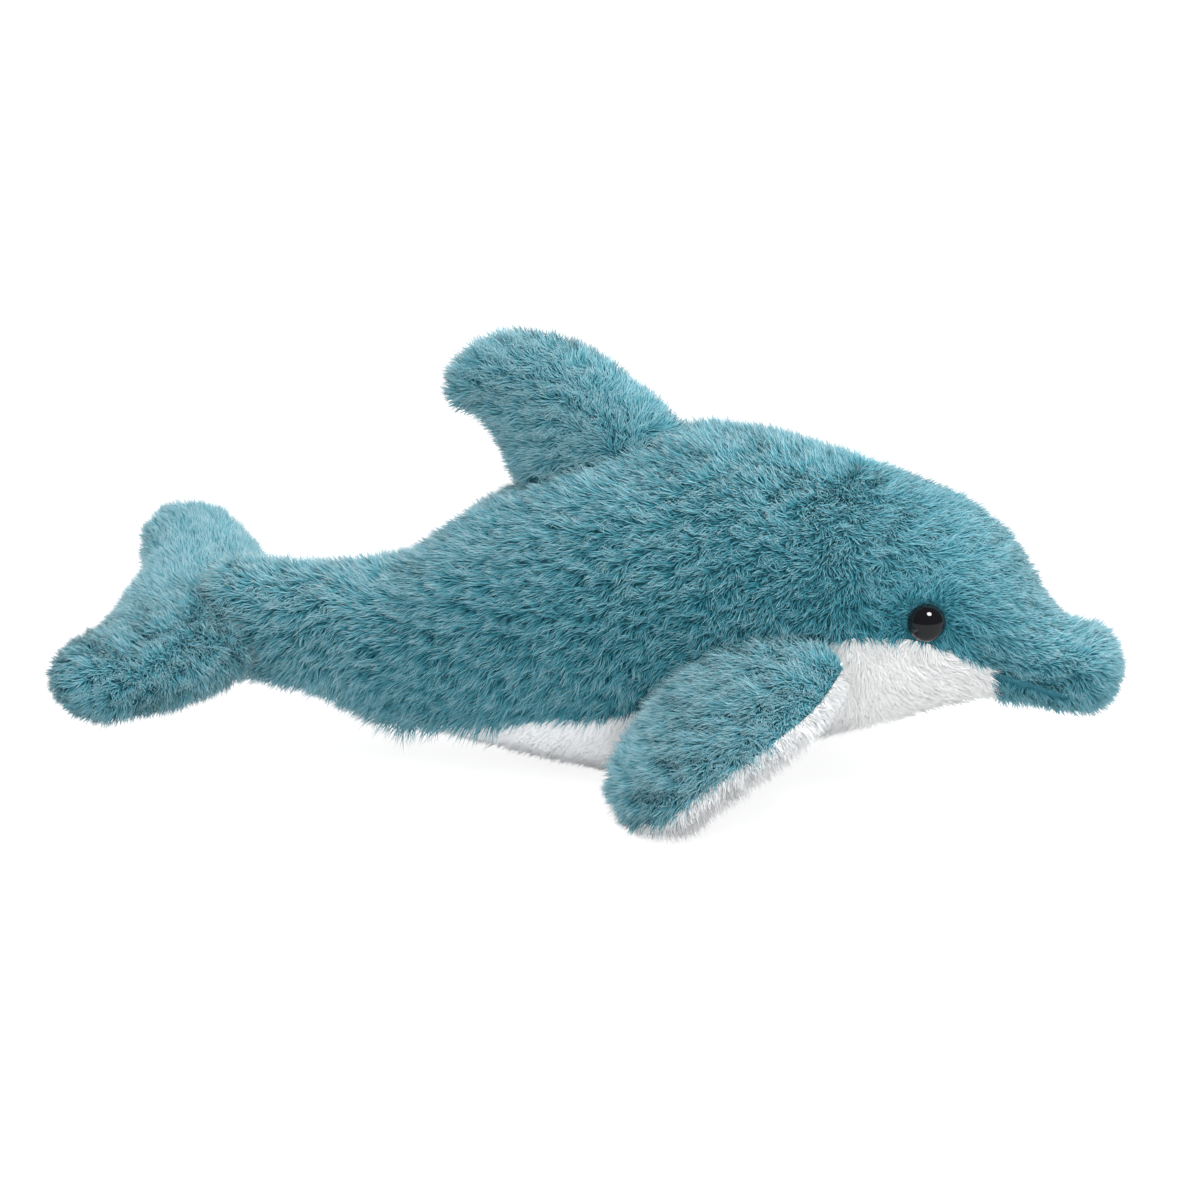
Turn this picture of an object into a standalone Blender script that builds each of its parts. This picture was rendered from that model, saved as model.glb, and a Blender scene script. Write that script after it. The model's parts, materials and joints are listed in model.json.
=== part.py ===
"""A plush dolphin toy, about 350 mm long with its pile, lying on its belly and both flippers.

It is sewn from cut pieces of pile cloth round a loose filling. Two teal side panels meet along
the back and, behind the white belly panel, under the tail. A teal panel closes the lower jaw in
front of the white chin. The fin, the two flippers and the tail fluke are stuffed pockets of two
panels each, sewn on to the body, and each eye is a domed button whose stem is locked inside by
a washer. The solids are the cloth with its dense lower pile, without the long hairs.

X runs from tail to beak, Y to the toy's left and Z up. The toy stands on Z = 0.
"""

import math

import bpy
import numpy as np
from mathutils import Euler, Vector

# Cloth and sewing. The cloth is its backing and the dense lower pile.
CLOTH = 0.003
SEAM_GAP = 0.0003

# Body, without the long pile
BODY_LENGTH = 0.288
BODY_HEIGHT = 0.112
BODY_WIDTH = 0.093
TAIL_X = -0.1209
BEAK_ROUND = 0.011
TAIL_ROUND = 0.010

# Each row is a place along the body from tail to beak, then the underside, the top and the
# width there, as shares of the body's length, height and width.
BODY_PROFILE = (
    (0.000, 0.210, 0.545, 0.320),
    (0.080, 0.178, 0.540, 0.355),
    (0.190, 0.096, 0.575, 0.505),
    (0.300, 0.045, 0.755, 0.753),
    (0.400, 0.003, 0.893, 0.930),
    (0.480, -0.023, 0.966, 0.997),
    (0.560, -0.020, 1.000, 0.995),
    (0.610, 0.036, 0.986, 0.972),
    (0.660, 0.109, 0.952, 0.935),
    (0.750, 0.174, 0.889, 0.839),
    (0.820, 0.235, 0.822, 0.720),
    (0.870, 0.260, 0.725, 0.580),
    (0.910, 0.250, 0.575, 0.440),
    (0.940, 0.232, 0.502, 0.376),
    (0.965, 0.240, 0.480, 0.355),
)

# The seam under each flank: a place along the body, and degrees below the widest line. It
# bounds the belly panel, and in front of the chin it is the line of the mouth.
BELLY_START = 0.165
CHIN_END = 0.872
BELLY_POINT = 0.0016
FLANK_SEAM = (
    (BELLY_START, 90.0),
    (0.226, 56.0),
    (0.301, 44.0),
    (0.370, 36.0),
    (0.490, 26.5),
    (0.610, 18.5),
    (0.743, 5.0),
    (0.780, 6.5),
    (0.829, 14.0),
    (CHIN_END, 24.0),
    (0.940, 15.0),
    (1.000, 20.0),
)

# Dorsal fin: where it stands on the back, its spine as (back, up) from there, and its chords
FIN_PLACE = 0.424
FIN_SUNK = 0.012
FIN_SPINE = ((0.006, 0.0), (-0.0165, 0.0185), (-0.0345, 0.0238))
FIN_CHORDS = (0.060, 0.042, 0.027)
FIN_LEAN = (22.0, 42.0, 60.0)
FIN_THICKNESS = (0.026, 0.021, 0.017)
FIN_ROUND = 0.013

# Flippers: where each leaves the flank, how far its tip lies from there, and how its spine bows
# out and forward on the way
FLIPPER_PLACE = 0.695
FLIPPER_DROP = 15.0
FLIPPER_SUNK = 0.012
FLIPPER_BACK = 0.0420
FLIPPER_OUT = 0.0240
FLIPPER_BOW = 0.008
FLIPPER_AHEAD = 0.003
FLIPPER_CHORDS = (0.030, 0.053, 0.054)
FLIPPER_THICKNESS = (0.020, 0.021, 0.018)
FLIPPER_ROUND = 0.022
FLIPPER_SEAM_LIFT = 18.0
FLIPPER_TILTS = (37.0, 11.0)
FLIPPER_TIP_RISE = 0.0080

# Fluke: one crescent pocket across the tail's end, a little rolled and turned, as it was laid
FLUKE_SPAN = 0.126
FLUKE_BEHIND = 0.013
FLUKE_RISE = -0.0025
FLUKE_SWEEP = 0.017
FLUKE_ROLL = 14.5
FLUKE_TURN = -0.5
FLUKE_PITCH = 10.0
FLUKE_CHORDS = (0.050, 0.043, 0.032)
FLUKE_THICKNESS = (0.028, 0.028, 0.024)
FLUKE_ROUND = 0.016

# Eyes: a domed button with a plain stem, and the washer that locks it inside the cloth
EYE_PLACE = 0.807
EYE_RISE = 2.5
EYE_DIAMETER = 0.012
EYE_DOME = 0.0056
EYE_SEAT = 0.0008
STEM_DIAMETER = 0.0036
STEM_LENGTH = 0.012
WASHER_DIAMETER = 0.013
WASHER_THICKNESS = 0.0022

# Facets
BODY_RINGS = 23
SIDE_STEPS = 8
BELLY_STEPS = 8
POCKET_RINGS = 7
POCKET_STEPS = 6
CAP_RINGS = 4
TURN_STEPS = 16

# The share of its base's width that a rounded end keeps, where the seams meet
TIP_OPEN = 0.09

TEAL = (0.090, 0.270, 0.325)
WHITE = (0.700, 0.720, 0.710)
FILLING = (0.800, 0.800, 0.780)
BLACK = (0.006, 0.006, 0.007)
NATURAL = (0.620, 0.610, 0.570)


def clear_scene():
    for leftover in list(bpy.data.objects):
        bpy.data.objects.remove(leftover, do_unlink=True)


def new_collection(name):
    collection = bpy.data.collections.new(name)
    bpy.context.scene.collection.children.link(collection)
    return collection


def finish(name, colour, roughness):
    """A plain material of one colour."""
    material = bpy.data.materials.new(name)
    material.use_nodes = True
    shader = material.node_tree.nodes["Principled BSDF"]
    shader.inputs["Base Color"].default_value = (*colour, 1)
    shader.inputs["Roughness"].default_value = roughness
    shader.inputs["Metallic"].default_value = 0
    return material


def curve(rows, places, column=1):
    """A smooth curve through the rows, from column 0 to the given column. Its slope at a row
    is the harmonic mean of the slopes on both sides, or zero at a peak, so it never overshoots."""
    table = np.array(rows, float)
    x, y = table[:, 0], table[:, column]
    step = np.diff(x)
    rise = np.diff(y) / step
    slope = np.zeros(len(x))
    same = rise[:-1] * rise[1:] > 0
    slope[1:-1][same] = 2 * rise[:-1][same] * rise[1:][same] / (rise[:-1] + rise[1:])[same]
    slope[0], slope[-1] = rise[0], rise[-1]
    at = np.clip(places, x[0], x[-1])
    i = np.clip(np.searchsorted(x, at, side="right") - 1, 0, len(x) - 2)
    t = (at - x[i]) / step[i]
    near = (1 + 2 * t) * (1 - t) ** 2 * y[i] + t * (1 - t) ** 2 * step[i] * slope[i]
    far = t**2 * (3 - 2 * t) * y[i + 1] - t**2 * (1 - t) * step[i] * slope[i + 1]
    return near + far


class Form:
    """A stuffed form: rings of elliptical section along a spine, with rounded ends.

    Each ring has a base point, the two directions and half sizes of its ellipse, and how far
    round an end it lies: `turn` is 0 on the plain stretch and 1 at the very tip. Every surface
    inside the form comes from the same rings, at its own depth below the outside, so that a
    panel's inner face and the filling under it run side by side."""

    def __init__(self, base, across, up, half_across, half_up, ahead, turn, reach, floor=False):
        self.base, self.across, self.up, self.ahead = base, across, up, ahead
        self.half_across, self.half_up = half_across, half_up
        self.turn, self.reach, self.floor = turn, reach, floor
        self.shrink = np.maximum(np.sqrt(np.clip(1 - turn**2, 0, 1)), TIP_OPEN)

    def halves(self, depth):
        return (self.half_across - depth) * self.shrink, (self.half_up - depth) * self.shrink

    def centres(self, depth):
        return self.base + self.ahead * (self.turn * (self.reach - depth))[:, None]

    def surface(self, angles, depth):
        """Points at these angles (one row for each ring), this deep below the outside."""
        wide, high = self.halves(depth)
        points = (
            self.centres(depth)[:, None]
            + (wide[:, None] * np.cos(angles))[..., None] * self.across[:, None]
            + (high[:, None] * np.sin(angles))[..., None] * self.up[:, None]
        )
        if self.floor:
            points[..., 2] = np.maximum(points[..., 2], depth)
        return points

    def seam_turn(self, angles):
        """The angle that half a seam's gap takes up, at one angle on each ring."""
        wide, high = self.halves(CLOTH)
        speed = np.hypot(wide * np.sin(angles), high * np.cos(angles))
        return SEAM_GAP / 2 / speed

    def part(self, rows):
        """The same form with only some of its rings."""
        kept = [
            getattr(self, name)[rows]
            for name in ("base", "across", "up", "half_across", "half_up", "ahead", "turn", "reach")
        ]
        return Form(*kept, floor=self.floor)


def with_ends(places, ends):
    """Adds the rings of the rounded ends to the plain ones. It returns each ring's place, its
    turn, and +1 or -1 for the end that it rounds."""
    turns = np.sin(np.linspace(0, math.pi / 2, CAP_RINGS + 1))[1:]
    place, turn, side = [np.array(places)], [np.zeros(len(places))], [np.zeros(len(places))]
    if "start" in ends:
        place.insert(0, np.full(CAP_RINGS, places[0]))
        turn.insert(0, turns[::-1])
        side.insert(0, np.full(CAP_RINGS, -1.0))
    if "end" in ends:
        place.append(np.full(CAP_RINGS, places[-1]))
        turn.append(turns)
        side.append(np.full(CAP_RINGS, 1.0))
    return np.concatenate(place), np.concatenate(turn), np.concatenate(side)


def unit(vectors):
    return vectors / np.linalg.norm(vectors, axis=-1, keepdims=True)


def grid_faces(rows, columns, first, outward, wrap=False):
    """Triangles of a grid of points whose numbers start at `first`."""
    i, j = np.meshgrid(np.arange(rows - 1), np.arange(columns - (not wrap)), indexing="ij")
    a = first + i * columns + j
    b = first + i * columns + (j + 1) % columns
    c = b + columns
    d = a + columns
    faces = np.concatenate([np.stack([a, b, c], -1), np.stack([a, c, d], -1)]).reshape(-1, 3)
    return faces if outward else faces[:, ::-1]


def wall_faces(edge, count, forward):
    """Triangles from the outer to the inner face along an edge. Where two panels meet, one is
    built forward and the other backward, so that both walls bend along the same diagonals."""
    a, b = edge[:-1], edge[1:]
    if forward:
        pairs = (a, a + count, b + count), (a, b + count, b)
    else:
        pairs = (a, a + count, b), (b, a + count, b + count)
    return [*np.concatenate([np.stack(triple, -1) for triple in pairs])]


def make_object(name, points, faces, material, collection, mirrored=False):
    """A mesh object at the origin. A mirrored one is the same on the toy's other side."""
    points = np.asarray(points, float).reshape(-1, 3)
    if mirrored:
        points = points * (1, -1, 1)
        faces = [tuple(face)[::-1] for face in faces]
    mesh = bpy.data.meshes.new(name)
    mesh.from_pydata(points.tolist(), [], [tuple(int(n) for n in face) for face in faces])
    mesh.materials.append(material)
    mesh.shade_smooth()
    obj = bpy.data.objects.new(name, mesh)
    collection.objects.link(obj)
    return obj


def between_seams(form, low, high, steps):
    """Evenly spaced angles on each ring, from half a gap past one seam to half a gap before
    the other."""
    low = low + form.seam_turn(low)
    high = high - form.seam_turn(high)
    share = np.linspace(0, 1, steps + 1)
    return low[:, None] * (1 - share) + high[:, None] * share


def panel(name, form, angles, material, collection, mirrored=False):
    """A piece of cloth: the form's surface at these angles, and as thick as the cloth."""
    outer = form.surface(angles, 0.0)
    inner = form.surface(angles, CLOTH)
    rings, columns = angles.shape
    count = rings * columns
    faces = [*grid_faces(rings, columns, 0, True), *grid_faces(rings, columns, count, False)]
    numbers = np.arange(count).reshape(rings, columns)
    faces += wall_faces(numbers[0], count, True) + wall_faces(numbers[:, -1], count, True)
    faces += wall_faces(numbers[-1, ::-1], count, True) + wall_faces(numbers[::-1, 0], count, False)
    points = np.concatenate([outer.reshape(-1, 3), inner.reshape(-1, 3)])
    return make_object(name, points, faces, material, collection, mirrored)


def stuffed(name, form, angles, depth, material, collection, mirrored=False):
    """A closed solid of the whole form, this deep below its outside."""
    points = form.surface(angles, depth)
    rings, columns = angles.shape
    faces = [*grid_faces(rings, columns, 0, True, wrap=True)]
    numbers = np.arange(rings * columns).reshape(rings, columns)
    faces += [numbers[0][::-1], numbers[-1]]
    return make_object(name, points, faces, material, collection, mirrored)


def cut(obj, cutter):
    modifier = obj.modifiers.new("cut", "BOOLEAN")
    modifier.operation = "DIFFERENCE"
    modifier.object = cutter
    modifier.solver = "EXACT"


def as_helper(obj):
    obj.hide_render = True
    obj.display_type = "WIRE"
    return obj


def body_places():
    """Places of the body's rings, with one at each end of the belly panel."""
    last = BODY_PROFILE[-1][0]
    chin_after = CHIN_END + SEAM_GAP / BODY_LENGTH
    even = np.linspace(0, last, BODY_RINGS)
    spaced = even[np.abs(even[:, None] - (BELLY_START, CHIN_END)).min(axis=1) > 0.4 * even[1]]
    return np.sort(np.concatenate([spaced, [BELLY_START, CHIN_END, chin_after]]))


def body_form():
    place, turn, side = with_ends(body_places(), ("start", "end"))
    low = curve(BODY_PROFILE, place, 1) * BODY_HEIGHT
    high = curve(BODY_PROFILE, place, 2) * BODY_HEIGHT
    width = curve(BODY_PROFILE, place, 3) * BODY_WIDTH
    zeros = np.zeros(len(place))
    base = np.stack([TAIL_X + place * BODY_LENGTH, zeros, (low + high) / 2], -1)
    ahead = np.stack([side, zeros, zeros], -1)
    across = np.tile([0.0, 1.0, 0.0], (len(place), 1))
    up = np.tile([0.0, 0.0, 1.0], (len(place), 1))
    reach = np.where(side > 0, BEAK_ROUND, TAIL_ROUND)
    halves = width / 2, (high - low) / 2
    return place, Form(base, across, up, *halves, ahead, turn, reach, floor=True)


def body_spot(place, degrees):
    """A point of the body's surface, and the direction straight out of it. Degrees are counted
    up from the widest line on the toy's left."""
    step = 1e-3

    def point(place, angle):
        rows = (curve(BODY_PROFILE, np.array([place]), n)[0] for n in (1, 2, 3))
        low, high, width = rows
        return Vector(
            (
                TAIL_X + place * BODY_LENGTH,
                width * BODY_WIDTH / 2 * math.cos(angle),
                ((high + low) + (high - low) * math.sin(angle)) * BODY_HEIGHT / 2,
            )
        )

    angle = math.radians(degrees)
    along = point(place + step, angle) - point(place - step, angle)
    round_it = point(place, angle + step) - point(place, angle - step)
    return point(place, angle), round_it.cross(along).normalized()


def flank_angles(place, form):
    """The flank seam's angle on each ring, below the widest line. Behind the belly panel the
    side panels meet straight below, and the belly panel starts from a narrow point."""
    drop = np.radians(curve(FLANK_SEAM, place))
    wide, _ = form.halves(CLOTH)
    point = math.pi / 2 - BELLY_POINT / 2 / wide
    return np.where(place < BELLY_START, math.pi / 2, np.minimum(drop, point))


def add_body(collection, helpers, cloths):
    """The four body panels, the filling, and a cutter of the body's outside."""
    place, form = body_form()
    seam = flank_angles(place, form)
    top = np.full(len(place), math.pi / 2)
    left_angles = between_seams(form, -seam, top, SIDE_STEPS)
    right_angles = between_seams(form, top, math.pi + seam, SIDE_STEPS)
    left = panel("side_panel_left", form, left_angles, cloths["teal_left"], collection)
    right = panel("side_panel_right", form, right_angles, cloths["teal_right"], collection)

    # Behind the belly panel these angles only share out the gap between the side panels.
    share = np.linspace(0, 1, BELLY_STEPS + 3)[1:-1]
    ends = right_angles[:, -1:], left_angles[:, :1] + 2 * math.pi
    low_angles = ends[0] * (1 - share) + ends[1] * share
    under = (place >= BELLY_START) & (place <= CHIN_END)
    jaw = place > CHIN_END
    for name, rows, key in (("belly_panel", under, "belly"), ("lower_jaw_panel", jaw, "jaw")):
        some = form.part(rows)
        low_angles[rows] = between_seams(
            some, math.pi + seam[rows], 2 * math.pi - seam[rows], BELLY_STEPS
        )
        panel(name, some, low_angles[rows], cloths[key], collection)

    # The filling has a point at each of the panels' points, so no facet of one cuts the other.
    ring = np.concatenate([left_angles, right_angles, low_angles], axis=1)
    filling = stuffed("body_stuffing", form, ring, CLOTH + SEAM_GAP, cloths["filling"], collection)
    cutter = stuffed("body_outside", form, ring, -SEAM_GAP, cloths["filling"], helpers)
    return left, right, filling, as_helper(cutter)


def pocket_form(spine, across, up, chords, thicknesses, rounds, ends, floor=False):
    """A flat stuffed pocket: its spine, chord directions and thickness directions are functions
    of a share from 0 to 1, and its chords and thicknesses are rows of (share, size)."""
    rings = POCKET_RINGS if ends == ("end",) else 2 * POCKET_RINGS
    share, turn, side = with_ends(np.linspace(0, 1, rings), ends)
    step = 1e-3
    ahead = unit(spine(np.minimum(share + step, 1)) - spine(np.maximum(share - step, 0)))
    return Form(
        spine(share),
        across(share),
        up(share),
        curve(chords, share) / 2,
        curve(thicknesses, share) / 2,
        ahead * side[:, None],
        turn,
        np.full(len(share), rounds),
        floor,
    )


def add_pocket(names, form, seams, cloths, collection, cutter, mirrored=False):
    """Two panels sewn together along both edges, the filling between them, and the cut that
    fits all three to the body. The seams are the angles of the two edges."""
    front, back = (np.full(len(form.turn), math.radians(angle)) for angle in seams)
    first, second, filling = names
    halves = [
        between_seams(form, low, high, POCKET_STEPS)
        for low, high in ((front, back), (back, front + 2 * math.pi))
    ]
    pieces = [
        panel(name, form, angles, cloths[name], collection, mirrored)
        for name, angles in zip((first, second), halves)
    ]
    ring = np.concatenate(halves, axis=1)
    pieces.append(
        stuffed(filling, form, ring, CLOTH + SEAM_GAP, cloths["filling"], collection, mirrored)
    )
    for piece in pieces:
        cut(piece, cutter)


def thirds(values):
    """Rows for a root, middle and end value."""
    return tuple(zip((0.0, 0.5, 1.0), values))


def fin_form():
    root, _ = body_spot(FIN_PLACE, 90)
    marks = np.array(FIN_SPINE)

    def spine(share):
        # A quadratic curve through the three marks, lowered to start inside the back.
        middle = 2 * marks[1] - (marks[0] + marks[2]) / 2
        t = share[:, None]
        flat = (1 - t) ** 2 * marks[0] + 2 * t * (1 - t) * middle + t**2 * marks[2]
        sunk = FIN_SUNK * (1 - t[:, 0]) ** 2
        zeros = np.zeros(len(share))
        return np.stack([root.x + flat[:, 0], zeros, root.z + flat[:, 1] - sunk], -1)

    def across(share):
        lean = np.radians(curve(thirds(FIN_LEAN), share))
        return np.stack([np.cos(lean), np.zeros(len(share)), np.sin(lean)], -1)

    def up(share):
        return np.tile([0.0, -1.0, 0.0], (len(share), 1))

    return pocket_form(
        spine, across, up, thirds(FIN_CHORDS), thirds(FIN_THICKNESS), FIN_ROUND, ("end",)
    )


def flipper_form():
    """The right flipper: it leaves the flank, bows outward and comes to rest on the floor."""
    root, out = body_spot(FLIPPER_PLACE, -FLIPPER_DROP)
    start = np.array(root - out * FLIPPER_SUNK) * (1, -1, 1)
    root_tilt, tip_tilt = np.radians(FLIPPER_TILTS)
    wide, high = FLIPPER_CHORDS[-1] / 2, FLIPPER_THICKNESS[-1] / 2
    rest = math.hypot(wide * math.sin(tip_tilt), high * math.cos(tip_tilt)) + FLIPPER_TIP_RISE
    tip = np.array([root.x - FLIPPER_BACK, -root.y - FLIPPER_OUT, rest])
    middle = (start + tip) / 2 + np.array([FLIPPER_AHEAD, -FLIPPER_BOW, FLIPPER_BOW])

    def spine(share):
        t = share[:, None]
        return (1 - t) ** 2 * start + 2 * t * (1 - t) * middle + t**2 * tip

    def up(share):
        tilt = root_tilt + (tip_tilt - root_tilt) * share
        return unit(square_to(np.stack([0 * tilt, -np.sin(tilt), np.cos(tilt)], -1), share))

    def square_to(vectors, share):
        along = unit(spine(share + 1e-3) - spine(share - 1e-3))
        return vectors - along * (vectors * along).sum(-1, keepdims=True)

    def across(share):
        along = unit(spine(share + 1e-3) - spine(share - 1e-3))
        return np.cross(up(share), along)

    return pocket_form(
        spine,
        across,
        up,
        thirds(FLIPPER_CHORDS),
        thirds(FLIPPER_THICKNESS),
        FLIPPER_ROUND,
        ("end",),
        floor=True,
    )


def fluke_form():
    """The crescent from its right tip to its left tip, swept back from the middle."""
    low, high = (curve(BODY_PROFILE, np.array([0.0]), n)[0] * BODY_HEIGHT for n in (1, 2))
    centre = np.array([TAIL_X - FLUKE_BEHIND, 0, (low + high) / 2 + FLUKE_RISE])
    turning = Euler(np.radians((FLUKE_ROLL, FLUKE_PITCH, -FLUKE_TURN))).to_matrix()
    forward, sideways, upward = np.array(turning).T
    half = FLUKE_SPAN / 2 - FLUKE_ROUND

    def spine(share):
        t = (2 * share - 1)[:, None]
        return centre + sideways * t * half - forward * FLUKE_SWEEP * t**2

    def up(share):
        return np.tile(upward, (len(share), 1))

    def across(share):
        along = unit(spine(share + 1e-3) - spine(share - 1e-3))
        return np.cross(along, up(share))

    def both_ways(values):
        middle, lobe, tip = values
        return tuple(zip((0.0, 0.25, 0.5, 0.75, 1.0), (tip, lobe, middle, lobe, tip)))

    return pocket_form(
        spine,
        across,
        up,
        both_ways(FLUKE_CHORDS),
        both_ways(FLUKE_THICKNESS),
        FLUKE_ROUND,
        ("start", "end"),
    )


def turned(name, profile, material, collection, closed=False):
    """A solid turned about its own Z from a profile of (radius, height) that runs downward."""
    mesh = bpy.data.meshes.new(name)
    count = len(profile)
    edges = [(n, n + 1) for n in range(count - 1)] + ([(count - 1, 0)] if closed else [])
    mesh.from_pydata([(radius, 0, height) for radius, height in profile], edges, [])
    mesh.materials.append(material)
    obj = bpy.data.objects.new(name, mesh)
    collection.objects.link(obj)
    screw = obj.modifiers.new("turn", "SCREW")
    screw.steps = screw.render_steps = TURN_STEPS
    screw.use_merge_vertices = True
    screw.merge_threshold = 1e-5
    screw.use_smooth_shade = True
    return obj


def add_eye(side, sign, panel_object, filling, collection, helpers, cloths):
    """One eye, its washer, the hole and seat in the cloth, and the pocket in the filling."""
    spot, out = body_spot(EYE_PLACE, EYE_RISE)
    bend = spot.y - CLOTH
    spot, out = Vector((spot.x, sign * spot.y, spot.z)), Vector((out.x, sign * out.y, out.z))
    turn = out.to_track_quat("Z", "Y")
    radius, stem = EYE_DIAMETER / 2, STEM_DIAMETER / 2
    dome = [
        (radius * math.sin(t), EYE_DOME * math.cos(t))
        for t in np.linspace(0, math.pi / 2, 7)
    ]
    profile = [*dome, (radius, -EYE_SEAT / 2), (stem, -EYE_SEAT / 2)]
    profile += [(stem, -STEM_LENGTH + stem / 2), (stem / 2, -STEM_LENGTH), (0, -STEM_LENGTH)]
    eye = turned(f"eye_{side}", profile, cloths["eye"], collection)

    hole = stem + SEAM_GAP
    rim = WASHER_DIAMETER / 2
    top = -CLOTH - rim**2 / 2 / bend - SEAM_GAP
    low = top - WASHER_THICKNESS
    ring = [(rim, top), (rim, low), (hole, low), (hole, top)]
    washer = turned(f"eye_washer_{side}", ring, cloths["washer"], collection, closed=True)

    floor_of_seat = -EYE_SEAT / 2 - SEAM_GAP
    wide = radius + SEAM_GAP
    bore = [(0, EYE_DOME), (wide, EYE_DOME), (wide, floor_of_seat), (hole, floor_of_seat)]
    bore += [(hole, -STEM_LENGTH), (0, -STEM_LENGTH)]
    seat_cutter = turned(f"eye_seat_{side}", bore, cloths["eye"], helpers)
    room = rim + SEAM_GAP
    inside = [(0, 0), (room, 0), (room, low - SEAM_GAP), (hole, low - SEAM_GAP)]
    inside += [(hole, -STEM_LENGTH - SEAM_GAP), (0, -STEM_LENGTH - SEAM_GAP)]
    room_cutter = turned(f"washer_room_{side}", inside, cloths["eye"], helpers)
    for piece in (eye, washer, seat_cutter, room_cutter):
        piece.location = spot
        piece.rotation_mode = "QUATERNION"
        piece.rotation_quaternion = turn
    cut(panel_object, as_helper(seat_cutter))
    cut(filling, as_helper(room_cutter))


def main():
    clear_scene()
    toy = new_collection("plush_dolphin")
    helpers = new_collection("cutters")
    cloths = {
        "teal_left": finish("teal pile, left side", TEAL, 0.95),
        "teal_right": finish("teal pile, right side", TEAL, 0.95),
        "belly": finish("white pile, belly", WHITE, 0.95),
        "jaw": finish("teal pile, lower jaw", TEAL, 0.95),
        "filling": finish("polyester filling", FILLING, 1.0),
        "eye": finish("black eye button", BLACK, 0.08),
        "washer": finish("natural plastic washer", NATURAL, 0.45),
    }
    for name in ("fin_panel_left", "fin_panel_right", "fluke_panel_top", "fluke_panel_under"):
        cloths[name] = finish(f"teal pile, {name.replace('_', ' ')}", TEAL, 0.95)
    for side in ("left", "right"):
        cloths[f"flipper_{side}_top"] = finish(f"teal pile, {side} flipper", TEAL, 0.95)
        cloths[f"flipper_{side}_under"] = finish(f"white pile, {side} flipper", WHITE, 0.95)

    left, right, filling, cutter = add_body(toy, helpers, cloths)
    fin_names = ("fin_panel_right", "fin_panel_left", "fin_stuffing")
    add_pocket(fin_names, fin_form(), (0, 180), cloths, toy, cutter)
    fluke_names = ("fluke_panel_top", "fluke_panel_under", "fluke_stuffing")
    add_pocket(fluke_names, fluke_form(), (0, 180), cloths, toy, cutter)
    for side, mirrored in (("right", False), ("left", True)):
        names = (f"flipper_{side}_top", f"flipper_{side}_under", f"flipper_{side}_stuffing")
        add_pocket(
            names, flipper_form(), (FLIPPER_SEAM_LIFT, 180), cloths, toy, cutter, mirrored
        )
    for side, sign, panel_object in (("left", 1, left), ("right", -1, right)):
        add_eye(side, sign, panel_object, filling, toy, helpers, cloths)


main()
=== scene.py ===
# %% [markdown]
# # A plush dolphin in long pile
#
# The toy is sewn from teal and white pile cloth, stuffed, and laid on its belly. Its construction
# is already there as a fixed frame: panels, fillings, eye buttons and their washers. This lesson
# dresses that frame. It rebuilds each panel as a smooth sheet of cloth and then grows the pile on
# it, hair by hair, because long pile is what the eye sees of such a toy: its soft outline, its
# dark partings and its light tips are made by hairs that stand, lean and shade each other, and
# by painted shade that darkens the hairs towards their roots and on the edges of their locks.

# %% The frame and its size
import json
import math

import bpy
import numpy as np
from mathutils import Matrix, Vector

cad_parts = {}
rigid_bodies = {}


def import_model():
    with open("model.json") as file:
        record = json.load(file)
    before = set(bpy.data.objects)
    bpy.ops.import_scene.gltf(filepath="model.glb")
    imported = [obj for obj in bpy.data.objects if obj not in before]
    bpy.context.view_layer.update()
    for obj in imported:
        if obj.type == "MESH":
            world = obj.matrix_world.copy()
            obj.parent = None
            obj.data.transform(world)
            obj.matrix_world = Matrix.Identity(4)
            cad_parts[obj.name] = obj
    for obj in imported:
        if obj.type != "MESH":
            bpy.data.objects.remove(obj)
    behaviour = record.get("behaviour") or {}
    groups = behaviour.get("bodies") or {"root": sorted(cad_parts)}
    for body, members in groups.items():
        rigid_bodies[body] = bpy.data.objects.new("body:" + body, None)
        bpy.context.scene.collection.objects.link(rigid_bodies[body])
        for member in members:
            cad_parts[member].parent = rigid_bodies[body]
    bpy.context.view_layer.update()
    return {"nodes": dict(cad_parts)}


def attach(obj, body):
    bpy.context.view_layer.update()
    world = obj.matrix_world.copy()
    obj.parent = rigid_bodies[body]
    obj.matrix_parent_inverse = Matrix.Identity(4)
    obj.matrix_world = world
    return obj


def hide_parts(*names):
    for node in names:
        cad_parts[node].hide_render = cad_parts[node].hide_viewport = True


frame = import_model()
MM = 0.001

# %% [markdown]
# ## The camera
#
# A camera could be placed by eye, but a match needs numbers. A long lens far away keeps the
# perspective as flat as a product shot. The camera looks from the toy's right, a little from the
# beak's side and from above, and the lens shift puts the middle of the toy's floor where the
# photograph has it.

# %% Camera
AZIMUTH = math.radians(12.0)
ELEVATION = math.radians(16.0)
CAMERA_DISTANCE = 1.6
FRAME_WIDTH = 0.390
FRAME_PIXELS = 1200
ORIGIN_PIXEL = (598.3, 761.0)


def add_camera():
    """A camera whose frame is FRAME_WIDTH wide where the toy stands: lens / sensor = distance /
    width. The shift moves the picture by the share of the frame that ORIGIN_PIXEL is off centre."""
    data = bpy.data.cameras.new("camera")
    data.sensor_width = 36
    data.lens = data.sensor_width * CAMERA_DISTANCE / FRAME_WIDTH
    data.shift_x = 0.5 - ORIGIN_PIXEL[0] / FRAME_PIXELS
    data.shift_y = ORIGIN_PIXEL[1] / FRAME_PIXELS - 0.5
    back = Vector(
        (
            math.sin(AZIMUTH) * math.cos(ELEVATION),
            -math.cos(AZIMUTH) * math.cos(ELEVATION),
            math.sin(ELEVATION),
        )
    )
    camera = bpy.data.objects.new("camera", data)
    camera.location = back * CAMERA_DISTANCE
    camera.rotation_euler = back.to_track_quat("Z", "Y").to_euler()
    bpy.context.scene.collection.objects.link(camera)
    bpy.context.scene.camera = camera
    return camera


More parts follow.
